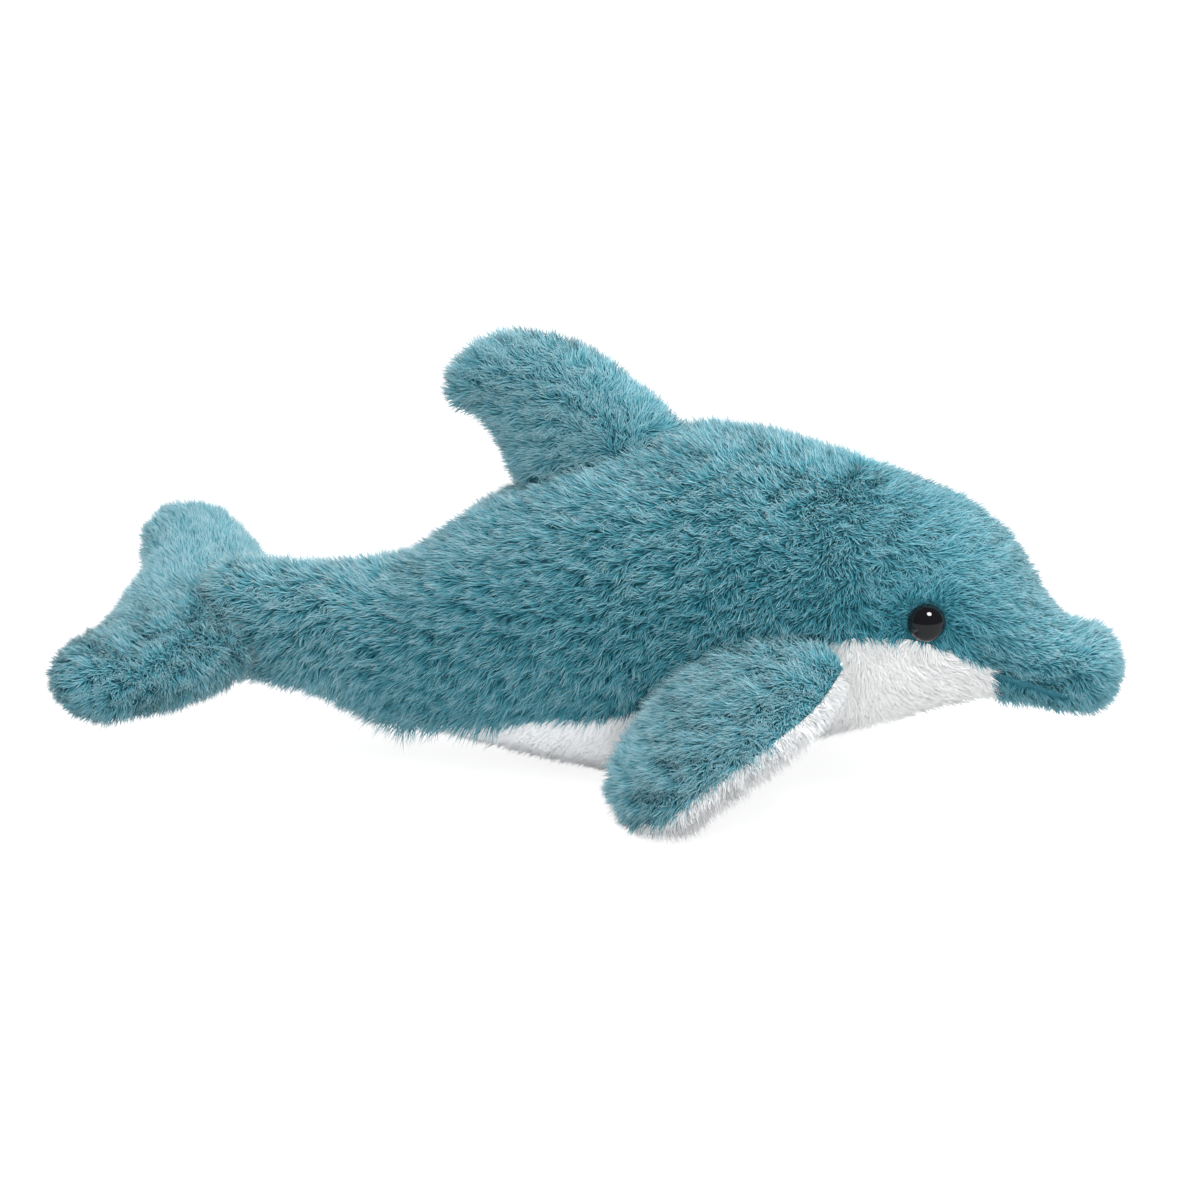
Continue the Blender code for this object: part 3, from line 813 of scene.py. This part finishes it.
def into_locks(panel, coat, place, share, root, tip):
    """Tips drawn towards the tip of their lock, and shorter on the lock's edge. With them come each
    lock's luck and how far out in its lock each hair stands, both from 0 to 1."""
    lock_place, lock_share, luck = lock_places(panel, place, share, coat["lock"])
    lock_root, lock_normal = panel.spots(lock_place, lock_share, CLOTH_DEPTH)
    trim = coat["trim"](lock_place, lock_share)
    lock_tip = hair_tips(coat, lock_root, lock_normal, np.zeros(root.shape), trim)
    lock_tip = lock_root + (lock_tip - lock_root) * (0.85 + 0.3 * luck)[:, None]
    outer = ease(np.linalg.norm(lock_root - root, axis=-1) / coat["lock"], 0.2, 0.75)
    grip = coat["pull"] * rng.uniform(0.4, 1.0, size=(len(root), 1))
    tip = tip + (lock_tip - tip) * grip
    reach = rng.triangular(0.65, 0.9, 1.25, size=(len(root), 1)) - coat["gap"] * outer[:, None]
    return root + (tip - root) * reach, luck, outer


# %% What hairs look like
def needles(coat, root, tip, normal):
    """Three points round each root and one at its tip, and their soft normals: the cloth's, bent
    outwards by `round` and at random by `rough`, so that the pile is shaded as one surface."""
    count = len(root)
    along = unit(tip - root)[:, None]
    across = unit(np.cross(along, normal[:, None]))
    turn = rng.uniform(0, 2 * math.pi, size=(count, 1, 1)) + np.radians([0, 120, 240])[:, None]
    spoke = across * np.cos(turn) + np.cross(along, across) * np.sin(turn)
    half = (coat["width"] * rng.uniform(0.7, 1.2, size=count) / 2)[:, None, None]
    points = np.concatenate([root[:, None] + spoke * half, tip[:, None]], 1)
    points[..., 2] = np.maximum(points[..., 2], FLOOR_GAP)
    soft = np.concatenate([spoke * coat["round"], np.zeros((count, 1, 3))], 1) + normal[:, None]
    return points, unit(soft + rng.normal(size=(count, 1, 3)) * coat["rough"])


def lightness(coat, root, normal, luck, outer):
    """How light each hair is: its coat's shade, then tufts, locks and single hairs that differ,
    with painted shade on each lock's edge, where it meets the gap to the next lock. The
    differences fade towards the head."""
    patch = coat["patch"] * (1 - 0.60 * beakward(root, 60, 105))
    # Less `outer`: painted shade, darker towards each lock's edge
    change = 0.5 * waves(root, TUFT, 7) + 1.4 * (luck - 0.5) - outer
    change = change + 0.6 * rng.normal(size=len(root))
    return np.clip(coat["shade"](root, normal) + patch * change, 0.03, 0.97)


# %% One panel's pile
NEEDLE_FACES = ((0, 1, 3), (1, 2, 3), (2, 0, 3))
NEEDLE_LIGHT = (-0.02, 0.0, 0.02, 0.0)
NEEDLE_HEIGHT = (0.04, 0.04, 0.04, 0.97)


def grow(panel, coat, material, slot):
    """All the hairs of a panel as one mesh. It returns how many triangles they have."""
    place, share = scatter(panel, coat["density"])
    root, normal = panel.spots(place, share, CLOTH_DEPTH)
    kept = coat["keep"](root)
    place, share, root, normal = place[kept], share[kept], root[kept], normal[kept]
    wild = rng.normal(size=root.shape)
    tip = hair_tips(coat, root, normal, wild, coat["trim"](place, share))
    tip, luck, outer = into_locks(panel, coat, place, share, root, tip)
    points, soft = needles(coat, root, tip, normal)
    uv = np.empty((len(root), 4, 2))
    uv[..., 0] = lightness(coat, root, normal, luck, outer)[:, None] + NEEDLE_LIGHT
    uv[..., 1] = NEEDLE_HEIGHT
    first = np.arange(len(root))[:, None] * 4
    faces = np.concatenate([first + corners for corners in NEEDLE_FACES])
    piece = make_piece(f"{panel.name}_pile", points, faces, uv, material, soft)
    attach(piece, "root")
    return len(faces)


# %% [markdown]
# ## Combing
#
# The nap of real pile has a direction, set by how the panel was cut and how the toy was stroked.
# On the body it runs back towards the tail and down the flank, on the head forward to the beak.
# On the fin, flippers and fluke it runs out to their edges. Round the eyes it parts.

# %% Comb directions
EYE_PLACE = 0.807
EYE_RISE = 2.5
EYE_DIAMETER = 12 * MM
FLANK_COMB = np.array([-0.75, 0.0, -0.65])
BEAK_COMB = np.array([0.9, 0.0, -0.45])
MOUTH_COMB = np.array([0.0, 0.0, 1.6])
FIN_FAN = np.array([9 * MM, 0, -3 * MM])
FLUKE_FAN = np.array([12 * MM, 0, 0])
FLUKE_HANG = np.array([0, 0, -4 * MM])
FLIPPER_FAN = 25 * MM
eye_spots = [body_spot(EYE_PLACE, EYE_RISE)]
eye_spots.append(tuple(vector * (1, -1, 1) for vector in eye_spots[0]))


def body_comb(points, normals):
    """From the flank's direction to the beak's, with a parting at the mouth and round each eye."""
    head = beakward(points, 60, 120)[:, None]
    comb = FLANK_COMB * (1 - head) + BEAK_COMB * head
    parting = at_mouth(points, 5 * MM) * np.sign(mouth_drop(points))
    comb = comb + parting[:, None] * MOUTH_COMB
    for spot, _ in eye_spots:
        away = points - spot
        near = 1 - ease(np.linalg.norm(away, axis=-1), 7 * MM, 18 * MM)
        comb = comb * (1 - near[:, None]) + unit(away) * near[:, None] * 1.2
    return comb


def fin_comb(points, normals):
    root, _ = body_spot(FIN_PLACE, 90)
    return unit(points - (root + FIN_FAN))


def fluke_comb(points, normals):
    return unit(points - (fluke_middle + FLUKE_FAN) + FLUKE_HANG)


def mirror(vectors, points):
    """Vectors at points of the toy's left side mirrored to its right side, or back."""
    sign = np.where(points[:, 1:2] > 0, -1, 1)
    return vectors * np.concatenate([sign**2, sign, sign**2], -1)


def flipper_comb(points, normals):
    """Along the flipper, drawn in at its root and fanning out more and more towards its tip."""
    right = mirror(points, points)
    ends = flipper_ring(np.array([0.0, 1.0]))[0]
    reach = np.linalg.norm(ends[1] - ends[0])
    axis = (ends[1] - ends[0]) / reach
    along = dot(right - ends[0], axis)
    aside = (right - ends[0] - axis * along) / FLIPPER_FAN
    return mirror(axis + aside * (2.8 * np.clip(along / reach, 0, 1.1) - 1.0), points)


# %% Where each panel keeps its hair
def clear_of_eyes(points):
    kept = np.ones(len(points), bool)
    for spot, _ in eye_spots:
        kept &= np.linalg.norm(points - spot, axis=-1) > EYE_DIAMETER / 2
    return kept & (at_mouth(points, 1.6 * MM) < 0.5)


def on_body(points):
    """Body hairs that no fin, flipper or fluke covers."""
    covered = fin.holds(points, -1 * MM) | fluke.holds(points, -1 * MM)
    covered |= flipper.holds(mirror(points, points), -1 * MM)
    return ~covered & clear_of_eyes(points)


def off_body(points):
    return ~body.holds(points, -2 * MM)


MOUTH_DROP = 2.5 * MM


def mouth_drop(points):
    """How far each point lies above the mouth, which runs a little under the jaw's seam."""
    place = (points[:, 0] - TAIL_X) / BODY_LENGTH
    share = np.clip(place / PROFILE_END, 0, 1)
    base, _, _, _, high, _ = body_ring(share)
    return points[:, 2] - (base[:, 2] - high * np.sin(flank_seam(share))) + MOUTH_DROP


def at_mouth(points, reach):
    """1 on the mouth's line, fading to 0 at `reach` from it and at its two ends."""
    near = 1 - ease(np.abs(mouth_drop(points)), 0, reach)
    return near * stretch(points, 127, 132, 150, 160)


# Millimetres along the toy from its middle, and of hair
BODY_PILE = (
    (-130.0, 7.0),
    (0.0, 6.8),
    (60.0, 6.2),
    (110.0, 6.2),
    (135.0, 5.6),
    (147.0, 4.4),
    (155.0, 6.0),
    (161.0, 5.8),
    (168.0, 4.2),
)


def teal_length(points):
    """Hair length: shorter on the beak, by the mouth and round the eyes, and longer low on the
    flank, where it hangs over the belly's seam."""
    long = curve(BODY_PILE, points[:, 0] / MM)
    low = 1 - ease(points[:, 2], 16 * MM, 26 * MM)
    long = long * (1 + 0.6 * low * stretch(points, -85, -60, -22, -8))
    for spot, _ in eye_spots:
        near = 1 - ease(np.linalg.norm(points - spot, axis=-1), 6 * MM, 14 * MM)
        long = long * (1 - 0.35 * near)
    return long * MM * (1 - 0.55 * at_mouth(points, 4 * MM))


def even(value):
    """The same value for every hair."""
    return lambda points: np.full(len(points), value)


# %% Trim and shade
# Millimetres along the toy from its middle, and how light the locks are there
BODY_SHADE = (
    (-130.0, 0.62),
    (-90.0, 0.53),
    (-40.0, 0.37),
    (60.0, 0.33),
    (105.0, 0.17),
    (140.0, 0.44),
)


def body_tone_and_painted_top_light(points, normals):
    """Lighter towards both ends, and lighter on top: painted light where light falls from above."""
    # The term by the normal's height is painted light on the faces that look up
    return curve(BODY_SHADE, points[:, 0] / MM) + 0.30 * ease(normals[:, 2], 0, 0.9)


def pocket_tone_and_painted_top_light(points, normals):
    # Lighter on the faces that look up: painted light from above
    return 0.58 + 0.06 * normals[:, 2]


def white_tone_and_painted_throat_shade(points, normals):
    """Darker under the throat, where much light falls: painted shade. Lightest on the belly and the
    flippers.
    """
    return 0.92 - 0.72 * beakward(points, 50, 95) * (np.abs(points[:, 1]) < 44 * MM)


def no_trim(place, share):
    return np.ones_like(place)


def flipper_trim(place, share):
    """Shorter where the white below should show: on the front edge by the root, on the back edge
    and round the tip. Longer on the front edge further out."""
    leading = 1 - ease(share, 0, 0.25)
    root = 1 - ease(place, 0.45, 0.75)
    trailing = ease(share, 0.70, 0.95) * (1 - ease(place, 0.55, 0.85))
    end = ease((place - 1) / CAP, 0.2, 0.9)
    return 1 + leading * (0.45 - 1.15 * root) - 0.50 * trailing - 0.12 * end


def sole_trim(place, share):
    """Shorter by the flipper's root, where the white meets the belly."""
    return 0.75 + 0.25 * ease(place, 0.30, 0.70)


def fin_trim(place, share):
    """Longer towards the fin's tip."""
    return 1 + 0.35 * ease(place, 0.70, 1.0)


# %% Coats
# Density is in hairs to a square millimetre. `stand`, `swirl` and `wild` say how a hair lies,
# `lock`, `pull` and `gap` how hairs gather, and `round`, `rough` and `patch` how they look
TEAL_COAT = {
    "density": 3.25,
    "length": teal_length,
    "width": 0.52 * MM,
    "stand": 0.70,
    "lock": 1.9 * MM,
    "pull": 0.60,
    "gap": 0.34,
    "swirl": 1.3,
    "wild": 0.6,
    "round": 0.60,
    "rough": 0.12,
    "patch": 0.30,
    "shade": body_tone_and_painted_top_light,
    "comb": body_comb,
    "keep": on_body,
    "trim": no_trim,
}
WHITE_COAT = {
    **TEAL_COAT,
    "length": even(4.4 * MM),
    "density": 3.3,
    "width": 0.42 * MM,
    "stand": 0.36,
    "pull": 0.10,
    "gap": 0.0,
    "swirl": 0.5,
    "wild": 0.30,
    "round": 0.20,
    "rough": 0.05,
    "patch": 0.05,
    "shade": white_tone_and_painted_throat_shade,
}
FIN_COAT = {
    **TEAL_COAT,
    "density": 4.6,
    "length": even(6.0 * MM),
    "stand": 0.60,
    "lock": 2.2 * MM,
    "gap": 0.12,
    "patch": 0.12,
    "shade": pocket_tone_and_painted_top_light,
    "comb": fin_comb,
    "keep": off_body,
    "trim": fin_trim,
}
FLUKE_COAT = {**FIN_COAT, "length": even(5.8 * MM), "comb": fluke_comb, "trim": no_trim}
FLIPPER_COAT = {**FIN_COAT, "length": even(6.4 * MM), "comb": flipper_comb, "trim": flipper_trim}
SOLE_COAT = {
    **WHITE_COAT,
    "density": 4.4,
    "width": 0.36 * MM,
    "length": even(6.6 * MM),
    "stand": 0.80,
    "comb": flipper_comb,
    "keep": off_body,
    "trim": sole_trim,
}
COATS = {
    "side_panel_left": TEAL_COAT,
    "side_panel_right": TEAL_COAT,
    "lower_jaw_panel": TEAL_COAT,
    "belly_panel": WHITE_COAT,
    "fin_panel_left": FIN_COAT,
    "fin_panel_right": FIN_COAT,
    "fluke_panel_top": FLUKE_COAT,
    "fluke_panel_under": FLUKE_COAT,
    "flipper_left_top": FLIPPER_COAT,
    "flipper_right_top": FLIPPER_COAT,
    "flipper_left_under": SOLE_COAT,
    "flipper_right_under": SOLE_COAT,
}
total = 0
for name, coat in COATS.items():
    triangles = grow(panels[name], coat, *pile_of(name))
    total += triangles
    print(name, triangles)
cloth_total = sum(len(p.data.polygons) * 2 for p in bpy.data.objects if p.name.endswith("_cloth"))
print("triangles of pile and cloth:", total, cloth_total)

# %% [markdown]
# ## Eyes
#
# A safety eye is a polished black dome on a stem. It is turned: a quarter of an ellipse for the
# dome, a thin rim, and the stem that the washer grips inside. The finish is nearly black plastic
# with a clear gloss, and all of its look is the lamp and the floor mirrored in it.

# %% Eyes
EYE_DOME = 5.6 * MM
EYE_SEAT = 0.8 * MM
STEM_DIAMETER = 3.6 * MM
STEM_LENGTH = 12 * MM
EYE_STEPS = 64


def eye_profile():
    """Radius and height, from the top of the dome to the foot of the stem."""
    t = np.linspace(0, math.pi / 2, 20)
    radius, stem = EYE_DIAMETER / 2, STEM_DIAMETER / 2
    dome = np.stack([radius * np.sin(t), EYE_DOME * np.cos(t)], -1)
    foot = [(radius, -EYE_SEAT / 2), (stem, -EYE_SEAT / 2), (stem, -STEM_LENGTH), (0, -STEM_LENGTH)]
    return np.concatenate([dome, foot])


black_eye = Finish("black_eye", roughness=0.05, coat_weight=1.0, coat_roughness=0.02)
black_eye.shader.inputs["Specular IOR Level"].default_value = 0.0
black_eye.shader.inputs["Coat IOR"].default_value = 1.5
grain = black_eye.node("ShaderNodeTexNoise", None, {"Scale": 900.0})
shine = Value(black_eye, grain.outputs[0]) * 0.03 + 0.04
black_eye.sets("Roughness", shine)
black_eye.sets("Base Color", (0.004, 0.004, 0.005, 1))


def add_eye(name, spot, out):
    """The profile turned about the outward direction: radius times cosine and sine along two
    directions square to it."""
    side = unit(np.cross(out, (0.0, 0.0, 1.0)))
    other = np.cross(out, side)
    turn = np.linspace(0, 2 * math.pi, EYE_STEPS, endpoint=False)
    profile = eye_profile()
    circle = np.cos(turn)[:, None] * side + np.sin(turn)[:, None] * other
    points = spot + profile[:, None, :1] * circle[None] + profile[:, None, 1:] * out
    faces = grid(len(profile), EYE_STEPS, closed=True)
    uv = np.stack(np.meshgrid(np.linspace(0, 1, len(profile)), turn / 7, indexing="ij"), -1)
    piece = make_piece(f"{name}_button", points, faces, uv, black_eye.material)
    weld = piece.modifiers.new("close the poles", "WELD")
    weld.merge_threshold = 1e-6
    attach(piece, "root")
    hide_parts(name)


for name, (spot, out) in zip(("eye_left", "eye_right"), eye_spots):
    add_eye(name, spot, out)
print("eye at", (eye_spots[1][0] / MM).round(1))

# %% [markdown]
# ## What is sealed inside
#
# The filling and the washers never show, but they keep their own finishes.

# %% Inner pieces
filling = Finish("filling", roughness=0.9)
fluff = filling.node("ShaderNodeTexNoise", None, {"Scale": 400.0, "Detail": 6.0})
tint = filling.node(
    "ShaderNodeValToRGB",
    {"stops": ((0.3, (0.62, 0.62, 0.60)), (0.7, (0.86, 0.86, 0.84)))},
    (fluff.outputs[0],),
)
filling.sets("Base Color", tint.outputs[0])
washer = Finish("washer_plastic", roughness=0.45)
mould = washer.node("ShaderNodeTexNoise", None, {"Scale": 600.0})
washer.sets("Roughness", Value(washer, mould.outputs[0]) * 0.2 + 0.35)
washer.sets("Base Color", (0.62, 0.61, 0.57, 1))
for name, node in frame["nodes"].items():
    if not node.hide_render:
        node.data.materials.clear()
        node.data.materials.append(washer.material if "washer" in name else filling.material)
print("inner pieces:", sum(not node.hide_render for node in frame["nodes"].values()))

# %% [markdown]
# ## Floor, backdrop and light
#
# The background is plain white: the floor and the world look white to the camera, while the world
# lights the toy with a cooler white. The floor keeps part of the toy's shadow. One round lamp,
# above and in front, gives the light tops and the darker flanks, helped by light painted on the
# tops of the teal pile, and puts the round highlight in the eye. To glossy rays the floor and the
# world are dim, so the rest of the eye stays black.

# %% Floor and world
FLOOR_SIZE = 6.0
FLOOR_GLOW = 1.1
FLOOR_SEEN = 0.8
FLOOR_MIRRORED = 0.75
FLOOR_DIM = 0.1
WORLD_LIGHT = 1.85
WORLD_MIRRORED = 0.06
WORLD_SEEN = 1.0
LAMP_PLACE = (0.50, -0.48, 1.12)
LAMP_SIZE = 0.5
LAMP_POWER = 15.0
LAMP_AIM = Vector((0, 0, 0.05))


def add_floor():
    """A plane that is mostly plain white to the camera, dim to glossy rays and matte white to the
    rest, which is how it lights the toy from below."""
    finish = Finish("floor", roughness=0.9)
    finish.sets("Base Color", (0.92, 0.92, 0.92, 1))
    path = finish.node("ShaderNodeLightPath")
    seen = Value(finish, path.outputs["Is Camera Ray"]) * FLOOR_SEEN
    glow = finish.node("ShaderNodeEmission", None, ((1, 1, 1, 1), FLOOR_GLOW))
    mixed = finish.node(
        "ShaderNodeMixShader", None, (seen, finish.shader.outputs[0], glow.outputs[0])
    )
    mirrored = Value(finish, path.outputs["Is Glossy Ray"]) * FLOOR_MIRRORED
    dim = finish.node("ShaderNodeEmission", None, ((0.8, 0.95, 1.0, 1), FLOOR_DIM))
    mixed = finish.node("ShaderNodeMixShader", None, (mirrored, mixed.outputs[0], dim.outputs[0]))
    output = finish.tree.nodes["Material Output"]
    finish.fill(output.inputs["Surface"], mixed.outputs[0])
    corners = np.array([(-1, -1, 0), (1, -1, 0), (1, 1, 0), (-1, 1, 0)]) * FLOOR_SIZE / 2
    uv = np.array([(0, 0), (1, 0), (1, 1), (0, 1)], float)
    floor = make_piece("floor", corners, np.array([[0, 1, 2, 3]]), uv, finish.material)


def add_world():
    """Cool white light, mixed with a dim white for glossy rays and a plain one for the camera."""
    world = bpy.data.worlds.new("studio")
    world.use_nodes = True
    tree = world.node_tree
    tree.nodes.clear()
    path = tree.nodes.new("ShaderNodeLightPath")
    output = tree.nodes.new("ShaderNodeOutputWorld")
    levels = ("Is Glossy Ray", WORLD_MIRRORED), ("Is Camera Ray", WORLD_SEEN)
    light = tree.nodes.new("ShaderNodeBackground")
    light.inputs[0].default_value = (0.97, 0.985, 1.0, 1)
    light.inputs[1].default_value = WORLD_LIGHT
    for kind, level in levels:
        other = tree.nodes.new("ShaderNodeBackground")
        other.inputs[0].default_value = (1, 1, 1, 1)
        other.inputs[1].default_value = level
        mix = tree.nodes.new("ShaderNodeMixShader")
        tree.links.new(path.outputs[kind], mix.inputs[0])
        tree.links.new(light.outputs[0], mix.inputs[1])
        tree.links.new(other.outputs[0], mix.inputs[2])
        light = mix
    tree.links.new(light.outputs[0], output.inputs[0])
    bpy.context.scene.world = world


def add_lamp():
    """A round area lamp that faces the toy."""
    data = bpy.data.lights.new("overhead", "AREA")
    data.shape, data.size, data.energy = "DISK", LAMP_SIZE, LAMP_POWER
    lamp = bpy.data.objects.new("overhead", data)
    lamp.location = LAMP_PLACE
    lamp.rotation_euler = (Vector(LAMP_PLACE) - LAMP_AIM).to_track_quat("Z", "Y").to_euler()
    bpy.context.scene.collection.objects.link(lamp)


add_floor()
add_world()
add_lamp()
bpy.context.scene.view_settings.view_transform = "Standard"
